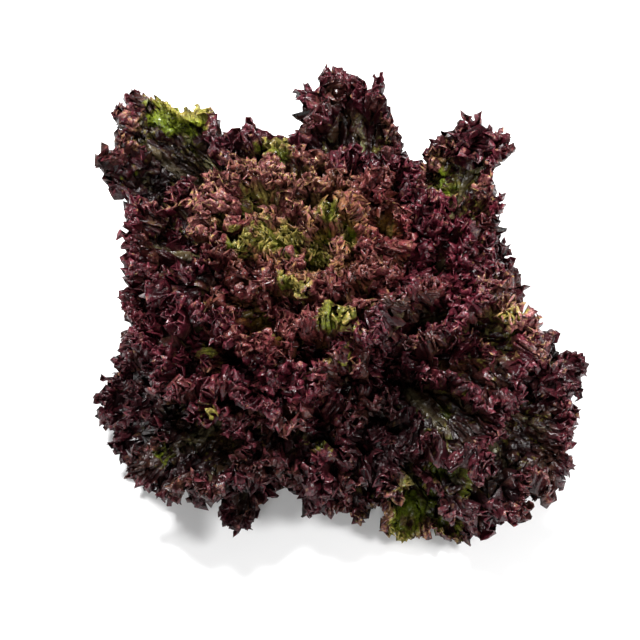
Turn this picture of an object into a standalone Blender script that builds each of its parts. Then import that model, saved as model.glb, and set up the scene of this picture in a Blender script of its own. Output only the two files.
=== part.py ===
"""Lollo rosso lettuce: one open, loose-leaf head, cut at the stem and standing on the cut.

The head is a short tapered stem with separate leaves round it.  Each leaf is one thin closed solid,
thicker along its rib, and lies on its own layer of a nested family of curved layers, so that no leaf
touches another.  Outer leaves lie low and droop to the surface, inner leaves stand up round the heart.

Units in this file are millimetres until the last step, +Z up.  The origin is the middle of the cut
face of the stem, on the surface that the head stands on.
"""

import math

import bmesh
import bpy
import numpy as np

MM = 0.001

# ---- driving dimensions, in millimetres and degrees ----
STEM_RADIUS = 15.0          # at the cut face
STEM_TOP_RADIUS = 3.0
STEM_HEIGHT = 42.0
FIRST_LEAF_Z = 6.0          # where the lowest leaf leaves the stem
LEAF_Z_SPAN = 33.0          # from the lowest leaf to the highest
GAP = 0.35                  # between the stem and the foot of a leaf
RIB_THICKNESS = 1.6         # at the foot of the lowest leaf
HEART_RIB_THICKNESS = 1.0   # and of the innermost
BLADE_THICKNESS = 0.7
FOOT_HALF_WIDTH = 5.6       # of the lowest leaf where it meets the stem
HEART_FOOT_HALF_WIDTH = 2.6
PROFILE_LENGTH = 150.0      # length of a layer's curve, from which its droop is measured
LOW_RISE, HIGH_RISE = 26.0, 84.0      # angle at the foot of the lowest and of the highest layer
LOW_DROOP, HIGH_DROOP = -50.0, 62.0   # angle at the far end of them
LEAN_X = -0.28              # how far the head leans to the left for each millimetre of height
BACK_LIFT = 0.0016          # the back of the head stands taller than the front
ACROSS, ALONG = 10, 7       # faces of a leaf, from side to side and from foot to margin

# name, azimuth in degrees, layer from 0 (lowest) to 1 (heart), length and half width in millimetres
LEAVES = [
    ("outer_leaf_01", -50, 0.000, 124, 61),
    ("outer_leaf_02", 68, 0.020, 108, 61),
    ("outer_leaf_03", -156, 0.041, 128, 61),
    ("outer_leaf_04", -22, 0.061, 125, 58),
    ("outer_leaf_05", 121, 0.082, 112, 60),
    ("outer_leaf_06", -114, 0.102, 125, 50),
    ("outer_leaf_07", 36, 0.122, 98, 58),
    ("outer_leaf_08", 174, 0.143, 116, 58),
    ("outer_leaf_09", -85, 0.163, 110, 44),
    ("outer_leaf_10", -44, 0.184, 144, 58),
    ("outer_leaf_11", 88, 0.204, 106, 58),
    ("outer_leaf_12", -132, 0.224, 138, 54),
    ("outer_leaf_13", 4, 0.245, 92, 54),
    ("outer_leaf_14", 146, 0.265, 128, 56),
    ("outer_leaf_15", -102, 0.286, 116, 50),
    ("outer_leaf_16", -56, 0.306, 128, 50),
    ("middle_leaf_01", 56, 0.327, 110, 54),
    ("middle_leaf_02", -168, 0.347, 118, 54),
    ("middle_leaf_03", -27, 0.367, 124, 52),
    ("middle_leaf_04", 106, 0.388, 98, 52),
    ("middle_leaf_05", -140, 0.408, 126, 50),
    ("middle_leaf_06", 35, 0.429, 140, 40),
    ("middle_leaf_07", 142, 0.449, 156, 41),
    ("middle_leaf_08", -116, 0.469, 118, 50),
    ("middle_leaf_09", 74, 0.490, 137, 40),
    ("middle_leaf_10", -18, 0.510, 114, 46),
    ("middle_leaf_11", 173, 0.531, 127, 46),
    ("middle_leaf_12", -92, 0.551, 112, 44),
    ("middle_leaf_13", 126, 0.571, 101, 42),
    ("middle_leaf_14", 8, 0.592, 111, 42),
    ("middle_leaf_15", -147, 0.612, 113, 42),
    ("middle_leaf_16", 48, 0.633, 108, 44),
    ("middle_leaf_17", -44, 0.653, 110, 42),
    ("inner_leaf_01", -122, 0.673, 108, 41),
    ("inner_leaf_02", 97, 0.694, 92, 36),
    ("inner_leaf_03", -74, 0.714, 102, 39),
    ("inner_leaf_04", 162, 0.735, 106, 36),
    ("inner_leaf_05", 24, 0.755, 100, 38),
    ("inner_leaf_06", -152, 0.776, 96, 27),
    ("inner_leaf_07", 62, 0.796, 88, 31),
    ("inner_leaf_08", 149, 0.816, 98, 25),
    ("inner_leaf_09", -30, 0.837, 94, 30),
    ("inner_leaf_10", -104, 0.857, 92, 29),
    ("heart_leaf_01", 160, 0.878, 76, 17),
    ("heart_leaf_02", 36, 0.898, 82, 22),
    ("heart_leaf_03", -68, 0.918, 76, 20),
    ("heart_leaf_04", 178, 0.939, 74, 15),
    ("heart_leaf_05", 66, 0.959, 72, 15),
    ("heart_leaf_06", -118, 0.980, 68, 14),
    ("heart_leaf_07", -8, 1.000, 64, 16),
]


def smooth(x):
    x = np.clip(x, 0.0, 1.0)
    return x * x * (3.0 - 2.0 * x)


def stem_radius(z):
    """The stem's own radius at a height: full at the cut, narrow at the growing tip."""
    return STEM_RADIUS - (STEM_RADIUS - STEM_TOP_RADIUS) * np.clip(z / STEM_HEIGHT, 0.0, 1.0) ** 1.4


def rib_thickness(t):
    return RIB_THICKNESS + (HEART_RIB_THICKNESS - RIB_THICKNESS) * t


def layer_curve(t):
    """Slant distance, radius and height along layer t, from the stem outwards."""
    rise = LOW_RISE + (HIGH_RISE - LOW_RISE) * t**1.05
    droop = LOW_DROOP + (HIGH_DROOP - LOW_DROOP) * t**0.75
    z0 = FIRST_LEAF_Z + LEAF_Z_SPAN * t
    r0 = float(stem_radius(z0)) + GAP + 0.5 * rib_thickness(t) * math.sin(math.radians(rise))
    s = np.arange(0.0, 231.0)
    angle = np.radians(rise + (droop - rise) * np.clip(s / PROFILE_LENGTH, 0, 1.5) ** 1.15)
    r = r0 + np.concatenate([[0.0], np.cumsum(np.cos(0.5 * (angle[1:] + angle[:-1])))])
    z = z0 + np.concatenate([[0.0], np.cumsum(np.sin(0.5 * (angle[1:] + angle[:-1])))])
    return s, r, z


def settle(points):
    """The whole head leans, stands taller at the back and is a little uneven all round.  Every step here
    keeps the layers in their order, so nothing meets that was apart."""
    x, y, z = points[:, 0], points[:, 1], points[:, 2]
    far = smooth(np.hypot(x, y) / 60.0)
    lift = 1.0 + BACK_LIFT * y * far
    lift = lift * (1.0 + 0.07 * far * np.sin(0.045 * x + 0.020 * y + 1.7) + 0.05 * far * np.sin(0.055 * y - 0.03 * x + 0.4))
    z = z * lift
    dx = 4.0 * np.sin(0.024 * y + 0.9) * far
    dy = 4.0 * np.sin(0.026 * x + 2.1) * far
    x = x + dx + LEAN_X * np.maximum(z - STEM_HEIGHT, 0.0) * smooth((z - STEM_HEIGHT) / 60.0)
    y = y + dy
    return np.stack([x, y, z], axis=1)


def on_layer(t, azimuth, across, along):
    """Lays flat leaf coordinates on layer t, as paper is laid on a cone, and returns points."""
    s, r, z = layer_curve(t)
    r0 = r[0]
    slant = np.hypot(across, r0 + along) - r0
    turn = np.arctan2(across, r0 + along)
    rr, zz = np.interp(slant, s, r), np.interp(slant, s, z)
    wrap = turn * (r0 + slant) / rr
    most = math.radians(150.0)
    wrap = most * np.tanh(wrap / most)
    theta = math.radians(azimuth) + wrap
    return np.stack([rr * np.cos(theta), rr * np.sin(theta), zz], axis=1)


def leaf_flat(p, q, t, length, half_width, seed):
    """A fan-shaped blade on a short narrow foot.  p runs from one side of the margin to the other,
    -1 to 1, and q from the foot to the margin, 0 to 1, along the way the veins run."""
    psi = np.radians(122.0) * p
    lobes = 1.0 + 0.035 * np.sin(7.0 * psi + seed) + 0.025 * np.sin(11.0 * psi + 2.0 * seed)
    mx = half_width * np.sin(psi) * lobes
    my = length * (0.52 + 0.48 * np.cos(psi) * lobes)
    foot = FOOT_HALF_WIDTH + (HEART_FOOT_HALF_WIDTH - FOOT_HALF_WIDTH) * t
    fx, fy = foot * p, 0.0 * p
    cx, cy = 1.7 * foot * p, length * (0.40 - 0.10 * p * p)
    a, b, c = (1 - q) ** 2, 2 * q * (1 - q), q * q
    return a * fx + b * cx + c * mx, a * fy + b * cy + c * my


def leaf_points(p, q, azimuth, t, length, half_width, seed):
    x, y = leaf_flat(p, q, t, length, half_width, seed)
    return settle(on_layer(t, azimuth, x, y))


def material(name, colour, roughness):
    m = bpy.data.materials.new(name)
    m.use_nodes = True
    shader = m.node_tree.nodes["Principled BSDF"]
    shader.inputs["Base Color"].default_value = (*colour, 1.0)
    shader.inputs["Roughness"].default_value = roughness
    shader.inputs["Metallic"].default_value = 0.0
    m.diffuse_color = (*colour, 1.0)
    return m


def leaf(collection, name, azimuth, t, length, half_width, seed, mat):
    """An open surface moved onto its layer, then given its thickness with Solidify."""
    mesh = bpy.data.meshes.new(name)
    bm = bmesh.new()
    bmesh.ops.create_grid(bm, x_segments=ACROSS, y_segments=ALONG, size=1.0)
    bm.verts.ensure_lookup_table()
    p = np.array([v.co.x for v in bm.verts])
    q = np.array([(v.co.y + 1.0) * 0.5 for v in bm.verts])
    q = q**0.9
    points = leaf_points(p, q, azimuth, t, length, half_width, seed) * MM
    for v, point in zip(bm.verts, points):
        v.co = point
    bmesh.ops.recalc_face_normals(bm, faces=bm.faces)
    bm.to_mesh(mesh)
    bm.free()
    mesh.materials.append(mat)
    obj = bpy.data.objects.new(name, mesh)
    collection.objects.link(obj)
    group = obj.vertex_groups.new(name="thickness")
    thin = BLADE_THICKNESS / rib_thickness(t)
    for i in range(len(p)):
        rib = (1.0 - abs(p[i])) ** 1.5 * (1.0 - q[i]) + (1.0 - smooth(q[i] / 0.35)) * 0.6
        group.add([i], float(thin + (1.0 - thin) * min(1.0, rib)), "REPLACE")
    shell = obj.modifiers.new("thickness", "SOLIDIFY")
    shell.thickness = rib_thickness(t) * MM
    shell.offset = 0.0
    shell.use_even_offset = False
    shell.use_rim = True
    shell.vertex_group = group.name
    mesh.shade_smooth()
    return obj


def stem(collection, mat):
    """The cut stem, turned from a profile: a flat cut face, a small cut edge and a tapered side."""
    heights = [1.2, 8.0, 16.0, 24.0, 32.0, 38.0]
    profile = [(0.0, STEM_HEIGHT), (STEM_TOP_RADIUS * 0.7, STEM_HEIGHT - 0.8)]
    profile += [(float(stem_radius(h)), h) for h in reversed(heights)]
    profile += [(STEM_RADIUS - 1.0, 0.0), (0.0, 0.0)]
    mesh = bpy.data.meshes.new("stem")
    bm = bmesh.new()
    verts = [bm.verts.new((r * MM, 0.0, z * MM)) for r, z in profile]
    for a, b in zip(verts, verts[1:]):
        bm.edges.new((a, b))
    bm.to_mesh(mesh)
    bm.free()
    mesh.materials.append(mat)
    obj = bpy.data.objects.new("stem", mesh)
    collection.objects.link(obj)
    turn = obj.modifiers.new("turn", "SCREW")
    turn.axis = "Z"
    turn.steps = 20
    turn.render_steps = 20
    turn.use_merge_vertices = True
    turn.merge_threshold = 0.00005
    turn.use_smooth_shade = True
    return obj


def main():
    for obj in list(bpy.data.objects):
        bpy.data.objects.remove(obj, do_unlink=True)
    collection = bpy.data.collections.new("lollo_rosso_lettuce")
    bpy.context.scene.collection.children.link(collection)
    stem(collection, material("cut_stem", (0.62, 0.60, 0.42), 0.55))
    outer = material("outer_leaf_blade", (0.10, 0.020, 0.032), 0.40)
    middle = material("middle_leaf_blade", (0.17, 0.040, 0.050), 0.40)
    inner = material("inner_leaf_blade", (0.24, 0.13, 0.060), 0.40)
    heart = material("heart_leaf_blade", (0.34, 0.38, 0.08), 0.42)
    mats = {"outer": outer, "middle": middle, "inner": inner, "heart": heart}
    for i, (name, azimuth, t, length, half_width) in enumerate(LEAVES):
        leaf(collection, name, azimuth, t, length, half_width, 1.3 * i, mats[name.split("_")[0]])


main()
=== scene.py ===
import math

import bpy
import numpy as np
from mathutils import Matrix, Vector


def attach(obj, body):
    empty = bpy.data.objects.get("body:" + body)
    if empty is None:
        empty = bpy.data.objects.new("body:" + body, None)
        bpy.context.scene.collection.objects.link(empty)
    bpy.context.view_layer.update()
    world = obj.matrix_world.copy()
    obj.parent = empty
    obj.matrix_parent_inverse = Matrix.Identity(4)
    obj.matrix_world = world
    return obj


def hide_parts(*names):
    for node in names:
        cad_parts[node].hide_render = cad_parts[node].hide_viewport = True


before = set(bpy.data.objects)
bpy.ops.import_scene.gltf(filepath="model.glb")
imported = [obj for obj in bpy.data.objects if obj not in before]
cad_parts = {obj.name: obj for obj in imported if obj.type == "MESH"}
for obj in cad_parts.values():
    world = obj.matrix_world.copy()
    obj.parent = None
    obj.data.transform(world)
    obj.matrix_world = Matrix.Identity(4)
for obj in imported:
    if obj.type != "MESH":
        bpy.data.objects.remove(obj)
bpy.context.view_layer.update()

# The look of the head: every leaf is a thin closed shell on the same curved layer as its frame solid,
# crimped in four steps towards its margin, each finer than the last: broad waves, folds, curls and teeth.
# Lengths in this file are millimetres until a mesh is made, and each leaf has its own random seed.

MM = 0.001

# ---- the same driving dimensions and leaf table as the frame ----
STEM_RADIUS = 15.0
STEM_TOP_RADIUS = 3.0
STEM_HEIGHT = 42.0
FIRST_LEAF_Z = 6.0
LEAF_Z_SPAN = 33.0
GAP = 0.35
RIB_THICKNESS = 1.6
HEART_RIB_THICKNESS = 1.0
FOOT_HALF_WIDTH = 5.6
HEART_FOOT_HALF_WIDTH = 2.6
PROFILE_LENGTH = 150.0
LOW_RISE, HIGH_RISE = 26.0, 84.0
LOW_DROOP, HIGH_DROOP = -50.0, 62.0
LEAN_X = -0.28
BACK_LIFT = 0.0016

LEAVES = [
    ("outer_leaf_01", -50, 0.000, 124, 61),
    ("outer_leaf_02", 68, 0.020, 108, 61),
    ("outer_leaf_03", -156, 0.041, 128, 61),
    ("outer_leaf_04", -22, 0.061, 125, 58),
    ("outer_leaf_05", 121, 0.082, 112, 60),
    ("outer_leaf_06", -114, 0.102, 125, 50),
    ("outer_leaf_07", 36, 0.122, 98, 58),
    ("outer_leaf_08", 174, 0.143, 116, 58),
    ("outer_leaf_09", -85, 0.163, 110, 44),
    ("outer_leaf_10", -44, 0.184, 144, 58),
    ("outer_leaf_11", 88, 0.204, 106, 58),
    ("outer_leaf_12", -132, 0.224, 138, 54),
    ("outer_leaf_13", 4, 0.245, 92, 54),
    ("outer_leaf_14", 146, 0.265, 128, 56),
    ("outer_leaf_15", -102, 0.286, 116, 50),
    ("outer_leaf_16", -56, 0.306, 128, 50),
    ("middle_leaf_01", 56, 0.327, 110, 54),
    ("middle_leaf_02", -168, 0.347, 118, 54),
    ("middle_leaf_03", -27, 0.367, 124, 52),
    ("middle_leaf_04", 106, 0.388, 98, 52),
    ("middle_leaf_05", -140, 0.408, 126, 50),
    ("middle_leaf_06", 35, 0.429, 140, 40),
    ("middle_leaf_07", 142, 0.449, 156, 41),
    ("middle_leaf_08", -116, 0.469, 118, 50),
    ("middle_leaf_09", 74, 0.490, 137, 40),
    ("middle_leaf_10", -18, 0.510, 114, 46),
    ("middle_leaf_11", 173, 0.531, 127, 46),
    ("middle_leaf_12", -92, 0.551, 112, 44),
    ("middle_leaf_13", 126, 0.571, 101, 42),
    ("middle_leaf_14", 8, 0.592, 111, 42),
    ("middle_leaf_15", -147, 0.612, 113, 42),
    ("middle_leaf_16", 48, 0.633, 108, 44),
    ("middle_leaf_17", -44, 0.653, 110, 42),
    ("inner_leaf_01", -122, 0.673, 108, 41),
    ("inner_leaf_02", 97, 0.694, 92, 36),
    ("inner_leaf_03", -74, 0.714, 102, 39),
    ("inner_leaf_04", 162, 0.735, 106, 36),
    ("inner_leaf_05", 24, 0.755, 100, 38),
    ("inner_leaf_06", -152, 0.776, 96, 27),
    ("inner_leaf_07", 62, 0.796, 88, 31),
    ("inner_leaf_08", 149, 0.816, 98, 25),
    ("inner_leaf_09", -30, 0.837, 94, 30),
    ("inner_leaf_10", -104, 0.857, 92, 29),
    ("heart_leaf_01", 160, 0.878, 76, 17),
    ("heart_leaf_02", 36, 0.898, 82, 22),
    ("heart_leaf_03", -68, 0.918, 76, 20),
    ("heart_leaf_04", 178, 0.939, 74, 15),
    ("heart_leaf_05", 66, 0.959, 72, 15),
    ("heart_leaf_06", -118, 0.980, 68, 14),
    ("heart_leaf_07", -8, 1.000, 64, 16),
]


# ---- the curved layers, as in the frame ----
def smooth(x):
    x = np.clip(x, 0.0, 1.0)
    return x * x * (3.0 - 2.0 * x)


def stem_radius(z):
    return STEM_RADIUS - (STEM_RADIUS - STEM_TOP_RADIUS) * np.clip(z / STEM_HEIGHT, 0.0, 1.0) ** 1.4


def rib_thickness(t):
    return RIB_THICKNESS + (HEART_RIB_THICKNESS - RIB_THICKNESS) * t


def layer_curve(t):
    rise = LOW_RISE + (HIGH_RISE - LOW_RISE) * t**1.05
    droop = LOW_DROOP + (HIGH_DROOP - LOW_DROOP) * t**0.75
    z0 = FIRST_LEAF_Z + LEAF_Z_SPAN * t
    r0 = float(stem_radius(z0)) + GAP + 0.5 * rib_thickness(t) * math.sin(math.radians(rise))
    s = np.arange(0.0, 231.0)
    angle = np.radians(rise + (droop - rise) * np.clip(s / PROFILE_LENGTH, 0, 1.5) ** 1.15)
    r = r0 + np.concatenate([[0.0], np.cumsum(np.cos(0.5 * (angle[1:] + angle[:-1])))])
    z = z0 + np.concatenate([[0.0], np.cumsum(np.sin(0.5 * (angle[1:] + angle[:-1])))])
    return s, r, z


def settle(x, y, z):
    far = smooth(np.hypot(x, y) / 60.0)
    lift = 1.0 + BACK_LIFT * y * far
    lift = lift * (1.0 + 0.07 * far * np.sin(0.045 * x + 0.020 * y + 1.7) + 0.05 * far * np.sin(0.055 * y - 0.03 * x + 0.4))
    z = z * lift
    dx = 4.0 * np.sin(0.024 * y + 0.9) * far
    dy = 4.0 * np.sin(0.026 * x + 2.1) * far
    x = x + dx + LEAN_X * np.maximum(z - STEM_HEIGHT, 0.0) * smooth((z - STEM_HEIGHT) / 60.0)
    return np.stack([x, y + dy, z], axis=-1)


def on_layer(t, azimuth, across, along):
    s, r, z = layer_curve(t)
    r0 = r[0]
    slant = np.hypot(across, r0 + along) - r0
    turn = np.arctan2(across, r0 + along)
    rr, zz = np.interp(slant, s, r), np.interp(slant, s, z)
    wrap = turn * (r0 + slant) / rr
    most = math.radians(150.0)
    wrap = most * np.tanh(wrap / most)
    theta = math.radians(azimuth) + wrap
    return settle(rr * np.cos(theta), rr * np.sin(theta), zz)


def leaf_flat(p, q, t, length, half_width, seed):
    psi = np.radians(122.0) * p
    lobes = 1.0 + 0.035 * np.sin(7.0 * psi + seed) + 0.025 * np.sin(11.0 * psi + 2.0 * seed)
    mx = half_width * np.sin(psi) * lobes
    my = length * (0.52 + 0.48 * np.cos(psi) * lobes)
    foot = FOOT_HALF_WIDTH + (HEART_FOOT_HALF_WIDTH - FOOT_HALF_WIDTH) * t
    fx, fy = foot * p, 0.0 * p
    cx, cy = 1.7 * foot * p, length * (0.40 - 0.10 * p * p)
    a, b, c = (1 - q) ** 2, 2 * q * (1 - q), q * q
    return a * fx + b * cx + c * mx, a * fy + b * cy + c * my


# ---- random but smooth curves ----
def wander(x, rng, scale, parts=6):
    total = 0.0
    for _ in range(parts):
        total = total + np.sin(2 * math.pi * x / (scale * rng.uniform(0.5, 2.2)) + rng.uniform(0, 2 * math.pi))
    return total / math.sqrt(0.5 * parts)


def wander2(x, y, rng, sx, sy, parts=7):
    total = 0.0
    for _ in range(parts):
        total = total + np.sin(
            2 * math.pi * (x / (sx * rng.uniform(0.6, 2.0)) * rng.choice([-1, 1]) + y / (sy * rng.uniform(0.6, 2.0)))
            + rng.uniform(0, 2 * math.pi)
        )
    return total / math.sqrt(0.5 * parts)


def grid_frame(points):
    """Unit normal, unit tangent along the margin and unit direction to the margin, at each point of a grid."""
    du = np.gradient(points, axis=1)
    dv = -np.gradient(points, axis=0)
    normal = np.cross(dv, du)
    normal /= np.linalg.norm(normal, axis=-1, keepdims=True) + 1e-9
    tangent = du / (np.linalg.norm(du, axis=-1, keepdims=True) + 1e-9)
    outward = np.cross(tangent, normal)
    return normal, tangent, outward


def margin_length(points, row=0):
    step = np.linalg.norm(np.diff(points[row], axis=0), axis=-1)
    return np.concatenate([[0.0], np.cumsum(step)])


# ---- how frilled each kind of leaf is ----
FRILL = {
    # how far the margin stands up off the layer: reach and least and most angle; then for the broad waves,
    # the folds and the curls: how far each reaches into the blade, its wavelength and its height; then the teeth
    "outer": dict(stand=(30.0, 10.0, 75.0), waves=(64, 28, 6.3), folds=(44, 5.2, 2.7), curls=(9, 2.7, 1.25), teeth=1.0),
    "middle": dict(stand=(30.0, 15.0, 75.0), waves=(62, 25, 5.9), folds=(42, 5.0, 2.6), curls=(9, 2.6, 1.2), teeth=0.9),
    "inner": dict(stand=(26.0, 5.0, 55.0), waves=(54, 21, 5.0), folds=(30, 4.7, 2.5), curls=(10, 2.5, 1.25), teeth=0.9),
    "heart": dict(stand=(24.0, -20.0, 25.0), waves=(40, 17, 3.0), folds=(24, 4.6, 2.1), curls=(9, 2.4, 1.15), teeth=0.8),
}

# Places along a margin (p, width) where it is calmer or cut back, as a share of the frill or of the blade.
CALM = {
    "middle_leaf_07": [(-0.34, 0.10, 0.75), (0.16, 0.10, 0.3)],
    "middle_leaf_09": [(-0.16, 0.05, 0.8), (-0.45, 0.16, 0.75)],
    "outer_leaf_01": [(-0.30, 0.16, 0.6)],
    "outer_leaf_10": [(0.25, 0.12, 0.25)],
    "outer_leaf_16": [(0.15, 0.25, 0.2)],
}
# Leaves whose blade shows carry more rows, and their blade is crumpled all over.
CRUMPLED = ("middle_leaf_07", "outer_leaf_10", "outer_leaf_12")
NOTCH = {
    "middle_leaf_07": [(-0.53, 0.13, 0.18), (0.08, 0.06, 0.06), (0.20, 0.06, 0.08), (0.42, 0.10, -0.05)],
    "middle_leaf_09": [(-0.50, 0.14, 0.24), (-0.33, 0.07, 0.10), (-0.17, 0.04, -0.09), (0.05, 0.12, 0.02), (0.32, 0.08, 0.05), (0.65, 0.14, 0.12)],
    "middle_leaf_06": [(0.47, 0.12, 0.34), (0.26, 0.035, 0.08), (0.05, 0.035, 0.08), (-0.22, 0.06, 0.08), (-0.42, 0.05, 0.02)],
    "middle_leaf_03": [(0.34, 0.11, 0.13), (0.49, 0.08, 0.10), (-0.68, 0.15, 0.32)],
    "middle_leaf_13": [(0.0, 0.30, -0.05)],
    "middle_leaf_01": [(0.0, 0.20, 0.14)],
    "middle_leaf_11": [(-0.15, 0.20, -0.04)],
    "middle_leaf_14": [(0.10, 0.20, -0.04)],
    "middle_leaf_12": [(0.55, 0.20, 0.16)],
    "middle_leaf_17": [(-0.60, 0.20, 0.14)],
    "outer_leaf_15": [(0.64, 0.22, 0.28)],
    "outer_leaf_16": [(-0.36, 0.17, 0.40)],
    "outer_leaf_03": [(-0.04, 0.12, 0.03)],
    "outer_leaf_04": [(0.55, 0.20, 0.20), (0.0, 0.14, -0.08)],
    "outer_leaf_06": [(0.21, 0.09, 0.36), (0.04, 0.06, 0.04)],
    "outer_leaf_10": [(0.36, 0.14, -0.05), (-0.27, 0.14, -0.04), (-0.29, 0.03, 0.05), (-0.54, 0.10, 0.22)],
    "outer_leaf_12": [(0.32, 0.14, -0.13), (0.0, 0.07, 0.04)],
    "outer_leaf_01": [(-0.62, 0.14, -0.08)],
    "inner_leaf_02": [(0.02, 0.04, 0.10)],
}
# Leaves at the far side carry a coarser margin.
COLUMNS = {
    "outer_leaf_02": 0.6, "outer_leaf_05": 0.7, "outer_leaf_07": 0.6, "outer_leaf_11": 0.6, "outer_leaf_13": 0.7,
    "middle_leaf_01": 0.7, "middle_leaf_04": 0.7,
}
FINENESS = 48

# Colour places of this head, and places of painted shade, in millimetres: centre, radius and strength.
GREEN = [
    (-35, 60, 118, 10, 1.0), (-39, 6, 109, 12, 1.0), (-28, 8, 98, 11, 1.0), (-52, -3, 115, 8, 1.0), (-11, 9, 82, 14, 0.8),
    (-6, 20, 111, 8, 0.9), (5, 13, 99, 8, 0.8), (-6, -45, 121, 9, 1.0), (-2, -53, 117, 10, 1.0), (-23, -28, 115, 9, 1.0),
    (14, -38, 104, 6, 0.7), (-2, -62, 100, 8, 0.5),
    (-90, -94, 53, 6, 0.7), (-70, -45, 77, 6, 0.8), (-66, -85, 78, 6, 0.8), (-11, -92, 66, 7, 0.6),
    (43, -100, 10, 30, 0.46), (54, -98, 43, 17, 0.44), (66, -112, 44, 10, 0.35), (38, -108, 46, 10, 0.5), (-86, 86, 116, 15, 1.0), (-96, 84, 118, 12, 0.7), (-113, 50, 108, 10, 0.35),
    (33, -119, 17, 10, 1.0), (90, -27, 82, 9, 0.7), (50, -75, 62, 16, 0.25), (60, 54, 92, 12, 0.5),
]
TAN = [
    (-110, 72, 122, 15, 0.6), (-86, 86, 116, 15, 0.5), (-30, 20, 118, 30, 0.40), (-46, 36, 116, 24, 0.9), (-24, 36, 114, 20, 0.8), (-23, -30, 116, 8, 0.6), (-8, 8, 102, 14, 0.6), (72, 39, 105, 12, 0.9),
    (57, 53, 98, 20, 0.7), (90, -26, 82, 20, 1.0), (33, -118, 18, 20, 0.9), (46, -100, 26, 26, 0.35), (103, -26, 66, 18, 0.9), (25, 80, 108, 10, 0.5),
    (-72, 18, 118, 22, 0.8), (-62, 30, 120, 20, 0.7),
]
# painted shade: where the head's hollow and deep gaps lie, the colour is darkened
PAINTED_SHADE = [
    (26, -74, 52, 30, 1.0), (29, -68, 66, 20, 1.0), (20, -58, 80, 14, 0.8), (30, -48, 62, 18, 1.0), (14, -96, 62, 14, 0.9), (-103, 48, 92, 22, 0.8),
    (-86, 60, 88, 24, 1.0), (-58, 68, 100, 24, 0.6), (8, 92, 112, 34, 0.2), (24, 78, 92, 20, 0.2), (-110, -60, 50, 30, 0.8),
    (70, -110, 20, 34, 0.3), (-50, -110, 25, 40, 0.8), (-20, -90, 50, 26, 0.4), (-90, -60, 60, 34, 0.5),
    (-100, -20, 80, 40, 0.25), (30, -86, 64, 15, 1.0), (26, -77, 71, 13, 1.0), (41, -68, 57, 15, 0.9), (12, -69, 70, 8, 0.6),
    (46, -92, 32, 22, 0.6),
]
PINK = [
    (-90, -20, 92, 45, 0.55), (-60, -50, 92, 40, 0.45), (50, 8, 96, 42, 0.9), (80, -30, 80, 34, 0.9), (70, 30, 100, 30, 0.6),
    (-10, -80, 80, 34, 0.5), (95, -60, 60, 26, 0.5),
]


def amount_at(p, places):
    total = np.zeros_like(p)
    for at, width, share in places:
        total = total + share * np.exp(-(((p - at) / width) ** 2))
    return np.clip(total, -0.5, 1.0)


def tone_at(points, places):
    total = np.zeros(points.shape[:-1])
    for x, y, z, radius, strength in places:
        away = np.linalg.norm(points - np.array([x, y, z], dtype=float), axis=-1) / radius
        total = np.maximum(total, strength * np.exp(-(away**2)))
    return np.clip(total, 0.0, 1.0)


def stand_up(points, depth, rng, reach, least, most):
    """The margin's band bends up off its layer along an arc, more in some stretches than in others."""
    normal, tangent, outward = grid_frame(points)
    u = margin_length(points)
    angle = 0.5 * (least + most) + 0.5 * (most - least) * np.clip(0.9 * wander(u, rng, 60.0), -1.0, 1.0)
    angle = np.radians(angle)[None, :]
    angle = np.where(np.abs(angle) < 0.02, 0.02, angle)
    s = np.clip(reach - depth, 0.0, None)
    radius = reach / angle
    # the arc starts from the place `reach` inside the margin, and its frame is that place's
    near = np.argmin(np.abs(depth - reach), axis=0)
    cols = np.arange(depth.shape[1])
    n0, o0 = normal[near, cols][None], outward[near, cols][None]
    shift_o = radius * np.sin(s / radius) - s
    shift_n = radius * (1.0 - np.cos(s / radius))
    return points + n0 * shift_n[..., None] + o0 * shift_o[..., None]


def crimp(points, depth, rng, reach, wavelength, height, overhang, flop, keep=1.0, sharp=1.0):
    """One step of crimping: waves across the margin, from nothing at `reach` to full height at the margin."""
    normal, tangent, outward = grid_frame(points)
    u = margin_length(points)
    local = wavelength * np.exp(0.30 * wander(u, rng, 5.0 * wavelength))
    phase = np.concatenate([[0.0], np.cumsum(2 * math.pi * np.diff(u) / local[1:])]) + rng.uniform(0, 6.28)
    tall = height * np.clip(1.0 + 0.38 * wander(u, rng, 2.6 * wavelength), 0.25, 2.0)
    uu = np.broadcast_to(u, depth.shape)
    ph = phase[None, :] + (0.6 + 1.6 * smooth(depth / 24.0)) * wander2(uu, depth, rng, 3.0 * wavelength, min(1.6 * reach, 15.0))
    swell = smooth(1.0 - depth / reach) ** sharp
    swell = swell * keep
    amount = tall[None, :] * swell
    turn = rng.uniform(0, 6.28)
    lean = flop * (0.7 + 0.5 * wander(u, rng, 3.5 * wavelength))[None, :]
    wave = np.sin(ph) + 0.18 * np.sin(2.0 * ph + turn)
    moved = points + normal * (amount * wave)[..., None]
    moved = moved - tangent * (overhang * local[None, :] / (4 * math.pi) * np.sin(2.0 * ph) * swell)[..., None]
    moved = moved + outward * (amount * lean * np.cos(ph + 0.6))[..., None]
    return moved


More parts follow.
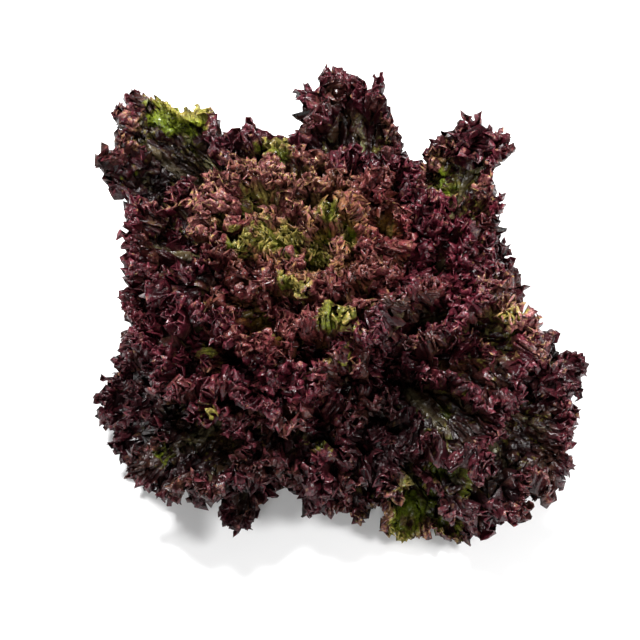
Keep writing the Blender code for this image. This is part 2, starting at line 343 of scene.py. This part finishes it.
def leaf_shell(i, name, azimuth, t, length, half_width):
    """Points, polygons and per-point facts of one frilled leaf: a thin closed shell."""
    rng = np.random.default_rng(4100 + 17 * i)
    seed = 1.3 * i
    kind = FRILL[name.split("_")[0]]

    # columns, spaced evenly along the margin
    fine = np.linspace(-1.0, 1.0, 1201)
    fx, fy = leaf_flat(fine, np.ones_like(fine), t, length, half_width, seed)
    arc = np.concatenate([[0.0], np.cumsum(np.hypot(np.diff(fx), np.diff(fy)))])
    weight = 0.55 + 0.45 * smooth((1.0 - np.abs(0.5 * (fine[1:] + fine[:-1]))) / 0.3)
    along = np.concatenate([[0.0], np.cumsum(np.diff(arc) * weight)])
    blocks = max(9, int(round(FINENESS * COLUMNS.get(name, 1.0) * min(1.0, arc[-1] / 330.0))))
    columns = 27 * blocks
    p = np.interp(np.linspace(0.0, along[-1], columns + 1), along, fine)

    # rows, from the margin to the foot; depth is measured on the leaf's middle
    near = [0.0, 1.5, 4.0, 7.5, 12.0]
    rest = length - near[-1]
    rows = near + [near[-1] + rest * f for f in (0.045, 0.095, 0.150, 0.210, 0.285)]
    rows += [near[-1] + rest * f for f in (0.38, 0.50, 0.64, 0.82, 1.0)]
    step = [1] * 2 + [3] * 7 + [9] * 2 + [27] * 3     # columns per polygon in each strip
    if name in CRUMPLED:
        rows = near + [near[-1] + 3.0 * k for k in range(1, 14)]
        rows += [rows[-1] + (length - rows[-1]) * f for f in (0.12, 0.28, 0.48, 0.72, 1.0)]
        step = [1] * 2 + [3] * 15 + [9] * 2 + [27] * 3
    q = 1.0 - np.array(rows) / length
    q[-1] = 0.0
    pp, qq = np.meshgrid(p, q)
    ax, ay = leaf_flat(pp, qq, t, length, half_width, seed)
    kept = 1.0 - amount_at(pp, NOTCH.get(name, [])) * qq**2
    ax, ay = ax * kept, 0.35 * length + (ay - 0.35 * length) * kept
    calm = 1.0 - amount_at(p, CALM.get(name, []))[None, :]
    points = on_layer(t, azimuth, ax, ay)
    hop = np.hypot(np.diff(ax, axis=0), np.diff(ay, axis=0))
    depth = np.concatenate([np.zeros((1, columns + 1)), np.cumsum(hop, axis=0)])

    # which way is up: the inner face of a leaf looks to the stem's axis and to the sky
    normal, tangent, outward = grid_frame(points)
    middle = (len(rows) // 2, (columns + 1) // 2)
    inwards = -points[middle][:2] / (np.linalg.norm(points[middle][:2]) + 1e-9)
    rise_of_layer = LOW_RISE + (HIGH_RISE - LOW_RISE) * t
    up = np.array([inwards[0] * math.sin(math.radians(rise_of_layer)), inwards[1] * math.sin(math.radians(rise_of_layer)), math.cos(math.radians(rise_of_layer))])
    if normal[middle] @ up < 0:
        raise RuntimeError("leaf faces the wrong way: " + name)

    # the margin stands up and the blade is a little quilted
    points = stand_up(points, depth, rng, *kind["stand"])
    uu = np.broadcast_to(margin_length(points), depth.shape)
    quilt = wander2(ax, ay, rng, 17.0, 21.0) * smooth(depth / 12.0) * smooth((length - depth) / 30.0) * smooth(np.abs(ax) / 8.0 + 0.2)
    pucker = wander2(ax, ay, rng, 8.0, 10.0, 9) * smooth((depth - 6.0) / 14.0) * smooth((length - depth) / 30.0)
    points = points + normal * (0.9 * quilt + 0.8 * pucker)[..., None]
    if name in CRUMPLED:
        crease = np.abs(wander2(ax, ay, rng, 9.0, 8.0, 9)) + 0.6 * np.abs(wander2(ax, ay, rng, 5.5, 6.5, 9))
        points = points + normal * (1.7 * crease * smooth((depth - 4.0) / 12.0) * smooth((62.0 - depth) / 16.0))[..., None]

    reach, wavelength, height = kind["waves"]
    points = crimp(points, depth, rng, reach, wavelength, height, 0.25, 0.25, 0.5 + 0.5 * calm)
    reach, wavelength, height = kind["folds"]
    points = crimp(points, depth, rng, reach, wavelength, height, 0.80, 0.55, calm, 1.35)
    reach, wavelength, height = kind["curls"]
    points = crimp(points, depth, rng, reach, wavelength, height, 1.00, 0.60, calm, 1.4)

    # the frilled band is crumpled all over, finely
    normal, tangent, outward = grid_frame(points)
    uu = np.broadcast_to(margin_length(points), depth.shape)
    rough = wander2(uu, depth, rng, 6.0, 7.0, 9) * smooth(1.0 - depth / 46.0) * (0.3 + 0.7 * calm)
    rough2 = wander2(uu, depth, rng, 6.0, 7.0, 9) * smooth(1.0 - depth / 46.0) * (0.3 + 0.7 * calm)
    points = points + normal * (0.7 * rough)[..., None] + outward * (0.6 * rough2)[..., None]

    # teeth: the margin runs out in points, every third or fourth column
    normal, tangent, outward = grid_frame(points)
    n = columns + 1
    tooth = np.zeros(n)
    at = 1
    while at < n - 1:
        tall = kind["teeth"] * rng.uniform(0.5, 1.7)
        tooth[at] = tall
        if at + 1 < n:
            tooth[at + 1] = tall * rng.uniform(0.2, 0.6)
        at += int(rng.integers(3, 6))
    lobe = 1.6 * np.clip(wander(margin_length(points), rng, 22.0), -1.2, 1.6)
    tooth = tooth * (0.35 + 0.65 * calm[0])
    points = points + outward * (tooth[None, :] * smooth(1.0 - depth / 4.0) + lobe[None, :] * smooth(1.0 - depth / 14.0))[..., None]
    jitter = rng.normal(0.0, 0.30, (2,) + depth.shape) * calm * smooth(1.0 - depth / 16.0)
    points = points + normal * jitter[0][..., None] + tangent * (0.6 * jitter[1])[..., None]

    # nothing goes into the surface that the head rests on
    low = points[..., 2]
    points[..., 2] = np.where(low < 3.0, 0.8 + 2.2 * np.exp((np.minimum(low, 3.0) - 3.0) / 2.2), low)

    # the back of the leaf, with its midrib and side veins standing out
    normal, tangent, outward = grid_frame(points)
    rib = 2.6 * np.exp(-((ax / (1.2 + 2.0 * depth / length)) ** 2)) * smooth(depth / length * 1.15) ** 1.2
    veins = 0.0
    for centre in (0.13, 0.27, 0.42, 0.58, 0.76):
        for side in (-1, 1):
            away = (pp - side * centre) * half_width * (0.2 + 0.8 * qq)
            veins = veins + np.exp(-((away / 1.1) ** 2))
    veins = 0.55 * veins * smooth(depth / 30.0) * smooth((length - depth) / 25.0)
    thick = 0.32 + 0.10 * smooth(depth / 20.0) + rib + veins
    back = points - normal * thick[..., None]
    back[..., 2] = np.maximum(back[..., 2], 0.25)

    # polygons
    rows_n, cols_n = depth.shape
    finest = [step[0]] + [min(step[r - 1], step[r]) for r in range(1, len(step))] + [step[-1]]
    index = -np.ones((rows_n, cols_n), dtype=np.int64)
    count = 0
    for r in range(rows_n):
        used = np.arange(0, cols_n, finest[r])
        index[r, used] = count + np.arange(len(used))
        count += len(used)
    take = index >= 0
    quads, tris = [], []
    for r, s in enumerate(step):
        c = np.arange(0, cols_n - s, s)
        if finest[r] == s:
            quads.append(np.stack([index[r, c], index[r + 1, c], index[r + 1, c + s], index[r, c + s]], axis=1))
        else:
            f = s // 3
            a0, a1, a2, a3 = index[r, c], index[r, c + f], index[r, c + 2 * f], index[r, c + s]
            b0, b1 = index[r + 1, c], index[r + 1, c + s]
            tris.append(np.stack([a0, b0, a1], axis=1))
            quads.append(np.stack([a1, b0, b1, a2], axis=1))
            tris.append(np.stack([a2, b1, a3], axis=1))
    quads, tris = np.concatenate(quads), np.concatenate(tris)

    # the rim joins the two faces along the margin, the sides and the foot
    edge = list(index[0, :][index[0, :] >= 0])
    edge += [index[r, cols_n - 1] for r in range(1, rows_n)]
    edge += list(index[-1, :][index[-1, :] >= 0][::-1][1:])
    edge += [index[r, 0] for r in range(rows_n - 2, 0, -1)]
    edge = np.array(edge)
    after = np.roll(edge, -1)
    rim = np.stack([edge, edge + count, after + count, after], axis=1)

    top, bottom = points[take], back[take]
    facts = dict(
        depth=depth[take], across=ax[take], along=(length - depth)[take], p=pp[take], q=qq[take],
        u=np.broadcast_to(margin_length(on_layer(t, azimuth, ax[:1], ay[:1])), depth.shape)[take],
    )
    return np.concatenate([top, bottom]), quads, tris, rim, count, facts


def leaf_object(i, row, mats):
    name, azimuth, t, length, half_width = row
    points, quads, tris, rim, count, facts = leaf_shell(i, name, azimuth, t, length, half_width)
    fours = np.concatenate([quads[:, ::-1], quads + count, rim])
    threes = np.concatenate([tris[:, ::-1], tris + count])
    mesh = bpy.data.meshes.new(name + "_look")
    mesh.vertices.add(len(points))
    mesh.vertices.foreach_set("co", (points * MM).astype(np.float32).ravel())
    loops = np.concatenate([fours.ravel(), threes.ravel()]).astype(np.int32)
    mesh.loops.add(len(loops))
    mesh.loops.foreach_set("vertex_index", loops)
    n4, n3 = len(fours), len(threes)
    mesh.polygons.add(n4 + n3)
    starts = np.concatenate([np.arange(n4) * 4, n4 * 4 + np.arange(n3) * 3]).astype(np.int32)
    mesh.polygons.foreach_set("loop_start", starts)
    slot_of = np.concatenate([
        np.zeros(len(quads)), np.ones(len(quads)), np.ones(len(rim)), np.zeros(len(tris)), np.ones(len(tris)),
    ]).astype(np.int32)
    mesh.polygons.foreach_set("material_index", slot_of)
    mesh.polygons.foreach_set("use_smooth", np.ones(n4 + n3, dtype=bool))
    mesh.update(calc_edges=True)
    mesh.validate()

    both = {k: np.concatenate([v, v]) for k, v in facts.items()}
    rng = np.random.default_rng(900 + i)
    own = rng.uniform(0.0, 1.0)
    growth = mesh.color_attributes.new("growth", "FLOAT_COLOR", "POINT")
    data = np.stack([
        np.clip(both["depth"] / 60.0, 0, 1), np.full(len(points), own), tone_at(points, PINK), np.ones(len(points)),
    ], axis=1)
    growth.data.foreach_set("color", data.astype(np.float32).ravel())
    # this attribute holds the green places, the tan places and the painted shade
    tone_and_shade = mesh.color_attributes.new("tone_and_shade", "FLOAT_COLOR", "POINT")
    data = np.stack([tone_at(points, GREEN), tone_at(points, TAN), tone_at(points, PAINTED_SHADE), np.ones(len(points))], axis=1)
    tone_and_shade.data.foreach_set("color", data.astype(np.float32).ravel())
    for layer, a, b in (("UVMap", both["p"] * 0.5 + 0.5, both["q"]), ("blade", both["u"] / 100.0, both["depth"] / 100.0)):
        uv = mesh.uv_layers.new(name=layer)
        uv.data.foreach_set("uv", np.stack([a[loops], b[loops]], axis=1).astype(np.float32).ravel())
    for m in mats:
        mesh.materials.append(m)
    obj = bpy.data.objects.new("frilled_" + name, mesh)
    bpy.context.scene.collection.objects.link(obj)
    return obj


# ---- materials ----
class Tree:
    """Short calls for building a node tree."""

    def __init__(self, name):
        self.mat = bpy.data.materials.new(name)
        self.mat.use_nodes = True
        self.nt = self.mat.node_tree
        self.nt.nodes.clear()
        self.out = self.add("ShaderNodeOutputMaterial")

    def add(self, kind, **settings):
        n = self.nt.nodes.new(kind)
        for k, v in settings.items():
            setattr(n, k, v)
        return n

    def link(self, a, b):
        self.nt.links.new(a, b)

    def noise(self, vector, scale, detail=3.0, rough=0.55, distortion=0.0):
        n = self.add("ShaderNodeTexNoise")
        self.link(vector, n.inputs["Vector"])
        n.inputs["Scale"].default_value = scale
        n.inputs["Detail"].default_value = detail
        n.inputs["Roughness"].default_value = rough
        n.inputs["Distortion"].default_value = distortion
        return n.outputs["Fac"]

    def maths(self, op, a, b=None, c=None, clamp=False):
        n = self.add("ShaderNodeMath", operation=op, use_clamp=clamp)
        for i, v in enumerate((a, b, c)):
            if v is None:
                continue
            if isinstance(v, (int, float)):
                n.inputs[i].default_value = v
            else:
                self.link(v, n.inputs[i])
        return n.outputs[0]

    def ramp(self, fac, stops, interpolation="LINEAR"):
        n = self.add("ShaderNodeValToRGB")
        n.color_ramp.interpolation = interpolation
        e = n.color_ramp.elements
        while len(e) > 1:
            e.remove(e[-1])
        e[0].position, e[0].color = stops[0][0], (*stops[0][1], 1.0)
        for pos, col in stops[1:]:
            new = e.new(pos)
            new.color = (*col, 1.0)
        self.link(fac, n.inputs["Fac"])
        return n.outputs["Color"]

    def spread(self, value, low, high, to_low, to_high):
        n = self.add("ShaderNodeMapRange")
        self.link(value, n.inputs["Value"])
        for k, v in (("From Min", low), ("From Max", high), ("To Min", to_low), ("To Max", to_high)):
            n.inputs[k].default_value = v
        return n.outputs["Result"]

    def mix(self, fac, a, b, blend="MIX"):
        n = self.add("ShaderNodeMix", data_type="RGBA", blend_type=blend)
        for socket, v in ((n.inputs[0], fac), (n.inputs[6], a), (n.inputs[7], b)):
            if isinstance(v, (int, float)):
                socket.default_value = v
            elif isinstance(v, tuple):
                socket.default_value = (*v, 1.0)
            else:
                self.link(v, socket)
        return n.outputs[2]


def leaf_material(name, stops, vein_colour, vein_strength, mottle, mottle_amount, roughness, glow, rim, coat=0.6, green_gain=1.0):
    """A leaf face: colour from the margin inwards, mottled, with a paler rim that is partly painted highlight, veins,
    blisters and small glints.
    """
    t = Tree(name)
    place = t.add("ShaderNodeTexCoord").outputs["Object"]
    fact = t.add("ShaderNodeAttribute", attribute_type="GEOMETRY", attribute_name="growth")
    split = t.add("ShaderNodeSeparateColor")
    t.link(fact.outputs["Color"], split.inputs["Color"])
    depth, own, pink = split.outputs["Red"], split.outputs["Green"], split.outputs["Blue"]
    # green and tan places, and the painted shade
    fact = t.add("ShaderNodeAttribute", attribute_type="GEOMETRY", attribute_name="tone_and_shade")
    split = t.add("ShaderNodeSeparateColor")
    t.link(fact.outputs["Color"], split.inputs["Color"])
    green, tan, painted_shade = split.outputs["Red"], split.outputs["Green"], split.outputs["Blue"]
    broad = t.noise(place, 26.0, 2.0)
    small = t.noise(place, 190.0, 4.0, 0.6)
    fine = t.noise(place, 620.0, 3.0, 0.6)
    finest = t.noise(place, 1250.0, 2.0, 0.6)
    wavy = t.maths("ADD", depth, t.spread(broad, 0.3, 0.7, -0.06, 0.10))
    wavy = t.maths("ADD", wavy, t.spread(small, 0.3, 0.7, -0.05, 0.05), clamp=True)
    colour = t.ramp(wavy, stops)
    # patches of another shade, larger on some leaves
    patch = t.spread(t.noise(place, 44.0, 2.0, 0.5), 0.50, 0.66, 0.0, mottle_amount)
    colour = t.mix(t.maths("MULTIPLY", patch, t.spread(own, 0.0, 1.0, 0.35, 1.0)), colour, mottle)
    # places of this head that are magenta, tan or green
    ragged = t.spread(t.noise(place, 120.0, 3.0, 0.6), 0.3, 0.7, -0.30, 0.30)
    colour = t.mix(pink, colour, t.mix(1.0, colour, (1.75, 1.05, 1.45), "MULTIPLY"))
    flecks = t.spread(t.noise(place, 290.0, 2.0, 0.5), 0.36, 0.64, -0.45, 0.30)
    is_tan = t.spread(t.maths("ADD", t.maths("ADD", tan, ragged), flecks), 0.25, 0.60, 0.0, 1.0)
    colour = t.mix(t.maths("MULTIPLY", is_tan, 0.85), colour, t.ramp(wavy, [(0.0, (0.40, 0.165, 0.150)), (0.07, (0.24, 0.082, 0.072)), (0.15, (0.185, 0.108, 0.042)), (0.3, (0.15, 0.135, 0.024))]))
    is_green = t.spread(t.maths("ADD", green, ragged), 0.30, 0.52, 0.0, 1.0)
    fresh = [(0.0, (0.30, 0.270, 0.055)), (0.12, (0.182, 0.228, 0.014)), (0.4, (0.112, 0.162, 0.007))]
    fresh = t.ramp(wavy, [(at, tuple(green_gain * v for v in col)) for at, col in fresh])
    colour = t.mix(is_green, colour, fresh)
    # light and dark from cell to cell
    colour = t.mix(1.0, colour, t.ramp(small, [(0.25, (0.42, 0.40, 0.41)), (0.75, (1.40, 1.36, 1.38))]), "MULTIPLY")
    colour = t.mix(1.0, colour, t.ramp(fine, [(0.3, (0.55, 0.53, 0.55)), (0.7, (1.45, 1.43, 1.45))]), "MULTIPLY")
    colour = t.mix(1.0, colour, t.ramp(finest, [(0.3, (0.55, 0.52, 0.54)), (0.7, (1.50, 1.50, 1.50))]), "MULTIPLY")
    # veins fan out from the foot
    uv = t.add("ShaderNodeUVMap", uv_map="UVMap").outputs["UV"]
    fan = t.add("ShaderNodeTexWave", wave_type="BANDS", bands_direction="X", wave_profile="SIN")
    t.link(uv, fan.inputs["Vector"])
    fan.inputs["Scale"].default_value = 2.2
    fan.inputs["Distortion"].default_value = 3.0
    fan.inputs["Detail"].default_value = 2.0
    fan.inputs["Detail Scale"].default_value = 1.4
    lines = t.spread(fan.outputs["Fac"], 0.90, 1.0, 0.0, vein_strength)
    inside = t.spread(depth, 0.12, 0.45, 0.0, 1.0)
    colour = t.mix(t.maths("MULTIPLY", lines, inside), colour, vein_colour)
    # the midrib is pale, and widens to the foot
    axes = t.add("ShaderNodeSeparateXYZ")
    t.link(uv, axes.inputs["Vector"])
    off = t.maths("ABSOLUTE", t.maths("SUBTRACT", axes.outputs["X"], 0.5))
    off = t.maths("MULTIPLY", off, t.spread(axes.outputs["Y"], 0.0, 1.0, 0.20, 1.0))
    rib = t.spread(off, 0.008, 0.026, 1.0, 0.0)
    rib = t.maths("MULTIPLY", rib, t.spread(depth, 0.30, 0.90, 0.0, min(1.0, 1.4 * vein_strength)))
    colour = t.mix(rib, colour, t.mix(0.24, vein_colour, (0.42, 0.44, 0.22)))
    # the very edge is thin, and painted paler in patches: partly the tips' own paler colour, partly a painted highlight
    edge = t.spread(depth, 0.0, 0.026, 0.9, 0.0)
    edge = t.maths("MULTIPLY", edge, t.spread(t.noise(place, 520.0, 2.0, 0.5), 0.46, 0.64, 0.0, 1.0))
    colour = t.mix(edge, colour, t.mix(t.maths("MAXIMUM", is_green, is_tan), rim, (0.44, 0.31, 0.085)))
    # painted shade: deep in the folds and in the hollow the colour is darkened, in the painted-shade places
    colour = t.mix(painted_shade, colour, t.mix(1.0, colour, (0.20, 0.16, 0.18), "MULTIPLY"))
    # the blade is blistered between a net of fine veins
    bent = t.add("ShaderNodeVectorMath", operation="MULTIPLY_ADD")
    wobble = t.add("ShaderNodeTexNoise")
    t.link(place, wobble.inputs["Vector"])
    wobble.inputs["Scale"].default_value = 90.0
    t.link(wobble.outputs["Color"], bent.inputs[0])
    bent.inputs[1].default_value = (0.010, 0.010, 0.010)
    t.link(place, bent.inputs[2])
    cells = t.add("ShaderNodeTexVoronoi", feature="SMOOTH_F1", distance="EUCLIDEAN")
    t.link(bent.outputs["Vector"], cells.inputs["Vector"])
    cells.inputs["Scale"].default_value = 230.0
    cells.inputs["Smoothness"].default_value = 0.6
    blister = t.maths("MULTIPLY", cells.outputs["Distance"], t.spread(depth, 0.1, 0.4, 0.2, 1.6))
    height = t.maths("ADD", t.maths("MULTIPLY", small, 1.1), t.maths("MULTIPLY", fine, 0.85))
    height = t.maths("SUBTRACT", height, blister)
    bump = t.add("ShaderNodeBump")
    bump.inputs["Strength"].default_value = 0.9
    bump.inputs["Distance"].default_value = 0.0018
    t.link(height, bump.inputs["Height"])
    shader = t.add("ShaderNodeBsdfPrincipled")
    t.link(colour, shader.inputs["Base Color"])
    t.link(t.spread(small, 0.3, 0.7, roughness - 0.07, roughness + 0.12), shader.inputs["Roughness"])
    t.link(bump.outputs["Normal"], shader.inputs["Normal"])
    shader.inputs["Specular IOR Level"].default_value = 0.10
    # the coat thins to a fifth where the shade is painted
    t.link(t.spread(painted_shade, 0.0, 1.0, coat, 0.2 * coat), shader.inputs["Coat Weight"])
    shader.inputs["Coat Roughness"].default_value = 0.17
    gloss = t.add("ShaderNodeBump")
    gloss.inputs["Strength"].default_value = 0.55
    gloss.inputs["Distance"].default_value = 0.0014
    folded = t.maths("MULTIPLY", cells.outputs["Distance"], t.spread(depth, 0.12, 0.35, 0.0, 1.6))
    t.link(t.maths("SUBTRACT", t.maths("ADD", small, t.maths("MULTIPLY", fine, 0.35)), folded), gloss.inputs["Height"])
    t.link(gloss.outputs["Normal"], shader.inputs["Coat Normal"])
    through = t.add("ShaderNodeBsdfTranslucent")
    t.link(t.mix(1.0, colour, (1.0, 0.60, 0.60), "MULTIPLY"), through.inputs["Color"])
    both = t.add("ShaderNodeMixShader")
    both.inputs["Fac"].default_value = glow
    t.link(shader.outputs["BSDF"], both.inputs[1])
    t.link(through.outputs["BSDF"], both.inputs[2])
    t.link(both.outputs["Shader"], t.out.inputs["Surface"])
    return t.mat


def stem_material():
    """The cut butt: pale green skin, a creamy cut face gone brown at its edge, and dried milk."""
    t = Tree("cut_stem_look")
    place = t.add("ShaderNodeTexCoord").outputs["Object"]
    split = t.add("ShaderNodeSeparateXYZ")
    t.link(place, split.inputs["Vector"])
    grain = t.noise(place, 260.0, 4.0)
    broad = t.noise(place, 60.0, 2.0)
    skin = t.ramp(grain, [(0.3, (0.42, 0.46, 0.20)), (0.7, (0.66, 0.66, 0.40))])
    cut = t.ramp(broad, [(0.35, (0.36, 0.16, 0.06)), (0.5, (0.58, 0.42, 0.22)), (0.7, (0.74, 0.68, 0.48))])
    low = t.spread(split.outputs["Z"], 0.0006, 0.0030, 1.0, 0.0)
    colour = t.mix(low, skin, cut)
    bump = t.add("ShaderNodeBump")
    bump.inputs["Strength"].default_value = 0.5
    bump.inputs["Distance"].default_value = 0.0008
    t.link(grain, bump.inputs["Height"])
    shader = t.add("ShaderNodeBsdfPrincipled")
    t.link(colour, shader.inputs["Base Color"])
    t.link(t.spread(grain, 0.3, 0.7, 0.42, 0.66), shader.inputs["Roughness"])
    t.link(bump.outputs["Normal"], shader.inputs["Normal"])
    t.link(shader.outputs["BSDF"], t.out.inputs["Surface"])
    return t.mat


def make_materials():
    made = {}
    # the ninth value of each face, its rim colour, is partly the tips' own paler colour and partly a painted highlight
    made["outer"] = (
        leaf_material("outer_leaf_upper", [
            (0.00, (0.0491, 0.0047, 0.0096)), (0.05, (0.0277, 0.0022, 0.0048)), (0.25, (0.0139, 0.0012, 0.0029)),
            (0.60, (0.0114, 0.0026, 0.0019)), (0.90, (0.0284, 0.0154, 0.0039))],
            (0.0755, 0.0428, 0.0192), 0.5, (0.0377, 0.0192, 0.0062), 0.55, 0.46, 0.12, (0.1636, 0.0279, 0.0408), 0.65, 0.75),
        leaf_material("outer_leaf_under", [
            (0.00, (0.0536, 0.0068, 0.0115)), (0.10, (0.0315, 0.0038, 0.0062)), (0.35, (0.0252, 0.0060, 0.0057)),
            (0.65, (0.0504, 0.0257, 0.0134)), (1.00, (0.1350, 0.1500, 0.0460))],
            (0.2300, 0.2300, 0.1000), 0.6, (0.0800, 0.0600, 0.0200), 0.35, 0.50, 0.12, (0.1636, 0.0320, 0.0431), 0.65, 0.75),
    )
    made["middle"] = (
        leaf_material("middle_leaf_upper", [
            (0.00, (0.0563, 0.0047, 0.0110)), (0.06, (0.0327, 0.0023, 0.0059)), (0.28, (0.0169, 0.0015, 0.0034)),
            (0.60, (0.0178, 0.0030, 0.0027)), (0.90, (0.0366, 0.0180, 0.0050))],
            (0.0902, 0.0544, 0.0212), 0.5, (0.0423, 0.0181, 0.0055), 0.5, 0.46, 0.12, (0.1859, 0.0272, 0.0444), 0.65, 1.15),
        leaf_material("middle_leaf_under", [
            (0.00, (0.0592, 0.0069, 0.0122)), (0.10, (0.0361, 0.0036, 0.0072)), (0.35, (0.0292, 0.0073, 0.0055)),
            (0.65, (0.0563, 0.0344, 0.0127)), (1.00, (0.1450, 0.1650, 0.0460))],
            (0.2400, 0.2400, 0.1000), 0.6, (0.0850, 0.0650, 0.0200), 0.35, 0.50, 0.12, (0.1859, 0.0308, 0.0464), 0.65, 1.15),
    )
    made["inner"] = (
        leaf_material("inner_leaf_upper", [
            (0.00, (0.1222, 0.0256, 0.0273)), (0.07, (0.0710, 0.0113, 0.0129)), (0.20, (0.0463, 0.0109, 0.0059)),
            (0.45, (0.0864, 0.0576, 0.0068)), (0.85, (0.1481, 0.1372, 0.0149))],
            (0.1852, 0.1504, 0.0384), 0.5, (0.0802, 0.0442, 0.0077), 0.6, 0.46, 0.15, (0.2593, 0.0952, 0.0703), 0.50, 0.55),
        leaf_material("inner_leaf_under", [
            (0.00, (0.1222, 0.0272, 0.0280)), (0.10, (0.0679, 0.0147, 0.0129)), (0.35, (0.0617, 0.0257, 0.0091)),
            (0.70, (0.1173, 0.0974, 0.0170)), (1.00, (0.1852, 0.1637, 0.0384))],
            (0.2223, 0.1771, 0.0639), 0.6, (0.0988, 0.0576, 0.0127), 0.5, 0.50, 0.15, (0.2593, 0.0995, 0.0725), 0.50, 0.55),
    )
    made["heart"] = (
        leaf_material("heart_leaf_upper", [
            (0.00, (0.2250, 0.0800, 0.0700)), (0.07, (0.1550, 0.0540, 0.0360)), (0.17, (0.1325, 0.0850, 0.0165)),
            (0.32, (0.1300, 0.1260, 0.0100)), (0.85, (0.2332, 0.2400, 0.0198))],
            (0.3370, 0.3064, 0.0492), 0.5, (0.1605, 0.1085, 0.0105), 0.5, 0.42, 0.18, (0.3690, 0.1915, 0.0598), 0.35, 0.62),
        leaf_material("heart_leaf_under", [
            (0.00, (0.2014, 0.0880, 0.0540)), (0.10, (0.1484, 0.0760, 0.0234)), (0.35, (0.1378, 0.1180, 0.0126)),
            (0.70, (0.2406, 0.2490, 0.0246)), (1.00, (0.3209, 0.3064, 0.0457))],
            (0.3530, 0.3192, 0.0703), 0.6, (0.1925, 0.1341, 0.0158), 0.5, 0.46, 0.18, (0.3690, 0.1979, 0.0616), 0.35, 0.62),
    )
    return made


# ---- the stage ----
def plain(name, colour, roughness):
    t = Tree(name)
    shader = t.add("ShaderNodeBsdfPrincipled")
    shader.inputs["Base Color"].default_value = (*colour, 1.0)
    shader.inputs["Roughness"].default_value = roughness
    t.link(shader.outputs["BSDF"], t.out.inputs["Surface"])
    return t.mat


def make_stage():
    scene = bpy.context.scene
    mesh = bpy.data.meshes.new("floor")
    mesh.from_pydata([(-3, -3, 0), (3, -3, 0), (3, 3, 0), (-3, 3, 0)], [], [(0, 1, 2, 3)])
    mesh.materials.append(plain("pale_floor", (0.92, 0.92, 0.92), 0.9))
    floor = bpy.data.objects.new("floor", mesh)
    scene.collection.objects.link(floor)

    world = bpy.data.worlds.new("studio")
    world.use_nodes = True
    world.node_tree.nodes["Background"].inputs["Color"].default_value = (1.0, 1.0, 1.0, 1.0)
    world.node_tree.nodes["Background"].inputs["Strength"].default_value = 0.24
    scene.world = world

    def lamp(name, place, size, power, target=(0, 0, 0.05)):
        light = bpy.data.lights.new(name, "AREA")
        light.shape = "DISK"
        light.size = size
        light.energy = power
        obj = bpy.data.objects.new(name, light)
        obj.location = place
        obj.rotation_euler = (Vector(target) - Vector(place)).to_track_quat("-Z", "Y").to_euler()
        scene.collection.objects.link(obj)

    lamp("key", (-0.36, 0.28, 1.15), 0.26, 24.5)
    lamp("top", (0.26, 0.52, 1.05), 0.18, 9.0)
    lamp("fill", (0.80, -0.40, 0.90), 0.34, 11.5)
    lamp("front", (-0.15, -0.85, 0.85), 0.34, 5.0)

    target = Vector((-0.0111, 0.0, 0.040))
    tilt = math.radians(55.0)
    back = Vector((0.0, -math.cos(tilt), math.sin(tilt)))
    data = bpy.data.cameras.new("camera")
    data.sensor_width = 36.0
    data.lens = 81.0
    data.clip_start = 0.01
    camera = bpy.data.objects.new("camera", data)
    camera.location = target + back * 0.8
    camera.rotation_euler = (-back).to_track_quat("-Z", "Y").to_euler()
    scene.collection.objects.link(camera)
    scene.camera = camera
    scene.view_settings.view_transform = "Standard"


# ---- build ----
make_stage()
MATERIALS = make_materials()
for i, row in enumerate(LEAVES):
    group = row[0].split("_")[0]
    piece = leaf_object(i, row, MATERIALS[group])
    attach(piece, "root")
    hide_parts(row[0])

butt = stem_material()
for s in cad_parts["stem"].material_slots:
    s.material = butt
